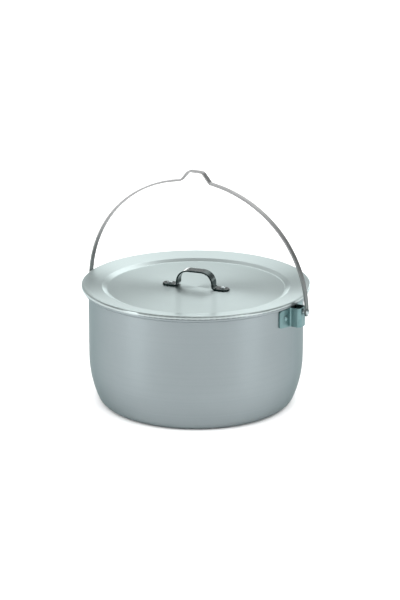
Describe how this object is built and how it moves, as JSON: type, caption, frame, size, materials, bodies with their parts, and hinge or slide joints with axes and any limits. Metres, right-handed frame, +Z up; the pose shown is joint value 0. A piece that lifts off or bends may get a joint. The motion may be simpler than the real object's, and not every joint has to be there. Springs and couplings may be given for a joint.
{
  "type": "kettle",
  "caption": "Round spun-metal camp kettle with a curled rim, riveted side ears, a swinging flat-strip bail with a pot-hook notch, and a lift-off lid with a strap handle.",
  "frame": {"origin": "centre of the flat base, on the surface the kettle stands on", "axes": "+Z up, +X from one bail pivot to the other, +Y across the bail; the front is -Y"},
  "size_m": [0.2568, 0.234, 0.2418],
  "materials": {
    "pot_aluminium": "fine spun satin",
    "lid_aluminium": "fine spun satin, brighter than the pot",
    "plated_ear_steel": "dull zinc plating with a faint green cast",
    "rivet_steel": "smooth plated steel",
    "bail_steel": "satin strip steel",
    "handle_steel": "dark polished steel"
  },
  "bodies": {
    "kettle": {"pot_shell": "pot_aluminium", "ear_right": "plated_ear_steel", "ear_left": "plated_ear_steel", "ear_rivet_right_front": "plated_ear_steel", "ear_rivet_right_back": "plated_ear_steel", "ear_rivet_left_front": "plated_ear_steel", "ear_rivet_left_back": "plated_ear_steel", "pivot_rivet_right": "rivet_steel", "pivot_rivet_left": "rivet_steel", "pivot_spacer_right": "rivet_steel", "pivot_spacer_left": "rivet_steel"},
    "bail": {"bail": "bail_steel"},
    "lid": {"lid": "lid_aluminium", "lid_handle": "handle_steel", "lid_rivet_left": "rivet_steel", "lid_rivet_right": "rivet_steel"}
  },
  "joints": [
    {"name": "bail_swing", "type": "hinge", "parent": "kettle", "child": "bail", "pos_m": [0, 0, 0.1123], "axis": [1, 0, 0], "range_deg": [-109, 109]},
    {"name": "lid_lift", "type": "slide", "parent": "kettle", "child": "lid", "axis": [0, 0, 1], "range_m": [0, 0.02]}
  ]
}
